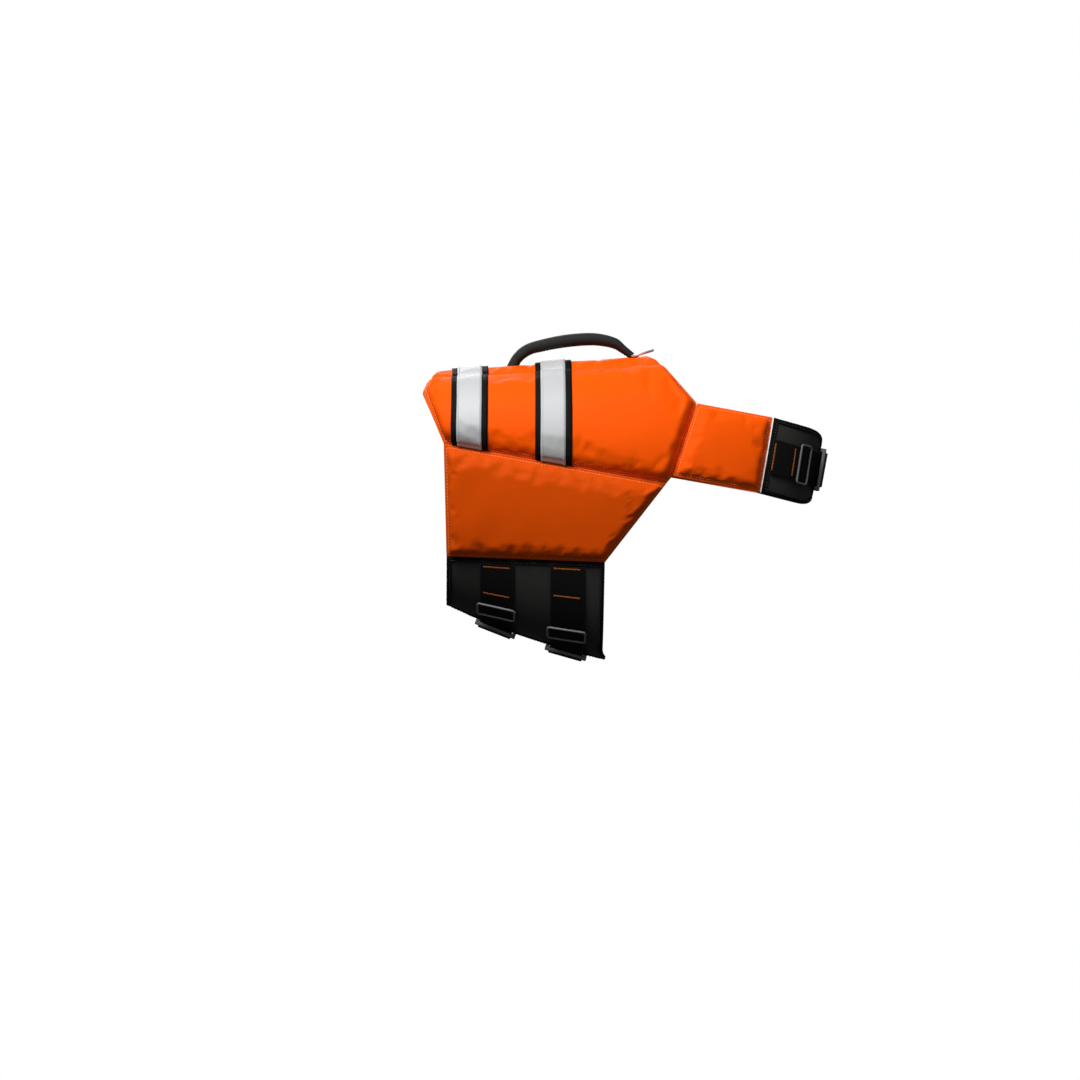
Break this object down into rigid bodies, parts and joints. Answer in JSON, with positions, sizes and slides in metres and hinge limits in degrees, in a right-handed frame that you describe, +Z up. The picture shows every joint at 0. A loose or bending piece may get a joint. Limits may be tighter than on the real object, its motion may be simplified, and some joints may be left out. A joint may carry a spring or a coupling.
{
  "type": "dog life jacket",
  "caption": "Hollow dog life jacket with foam back, side and chest panels, bound belly and chest flaps, buckled straps, lifting handle and leash ring, closed as worn.",
  "frame": {"origin": "on the inner face of the spine panel, above the belly straps, where the wearer's back carries the jacket", "axes": "+X towards the wearer's head, +Y to the wearer's left, +Z up"},
  "size_m": [0.4444, 0.228, 0.3608],
  "materials": {
    "orange_cloth": "coated woven polyester over foam",
    "black_neoprene": "knit-faced neoprene, matt",
    "black_binding": "folded binding tape",
    "black_webbing": "woven webbing",
    "white_piping": "corded piping",
    "silver_tape": "retroreflective tape",
    "handle_sleeve": "padded woven sleeve",
    "grey_plastic": "moulded acetal",
    "steel": "nickel-plated"
  },
  "bodies": {
    "jacket": {"back_panel_left": "orange_cloth", "back_panel_right": "orange_cloth", "belly_binding_left": "black_binding", "belly_binding_right": "black_binding", "belly_buckle_front_plug": "grey_plastic", "belly_buckle_front_socket": "grey_plastic", "belly_buckle_rear_plug": "grey_plastic", "belly_buckle_rear_socket": "grey_plastic", "belly_flap_left": "black_neoprene", "belly_flap_right": "black_neoprene", "belly_slider_front_left": "grey_plastic", "belly_slider_front_right": "grey_plastic", "belly_slider_rear_left": "grey_plastic", "belly_slider_rear_right": "grey_plastic", "belly_webbing_front_left": "black_webbing", "belly_webbing_front_right": "black_webbing", "belly_webbing_rear_left": "black_webbing", "belly_webbing_rear_right": "black_webbing", "chest_band_left": "orange_cloth", "chest_band_right": "orange_cloth", "chest_binding_left": "black_binding", "chest_binding_right": "black_binding", "chest_buckle_plug": "grey_plastic", "chest_buckle_socket": "grey_plastic", "chest_flap_left": "black_neoprene", "chest_flap_right": "black_neoprene", "chest_piping_left": "white_piping", "chest_piping_right": "white_piping", "chest_slider_left": "grey_plastic", "chest_slider_right": "grey_plastic", "chest_webbing_left": "black_webbing", "chest_webbing_right": "black_webbing", "handle": "handle_sleeve", "side_panel_left": "orange_cloth", "side_panel_right": "orange_cloth", "spine_panel": "orange_cloth", "stripe_tape_front": "silver_tape", "stripe_tape_rear": "silver_tape", "stripe_webbing_front": "black_webbing", "stripe_webbing_rear": "black_webbing"},
    "leash_ring": {"leash_ring": "steel"}
  },
  "joints": [
    {"name": "ring_swing", "type": "hinge", "parent": "jacket", "child": "leash_ring", "pos_m": [0.099, 0, 0.0203], "axis": [0, -1, 0], "range_deg": [-11, 95]}
  ]
}
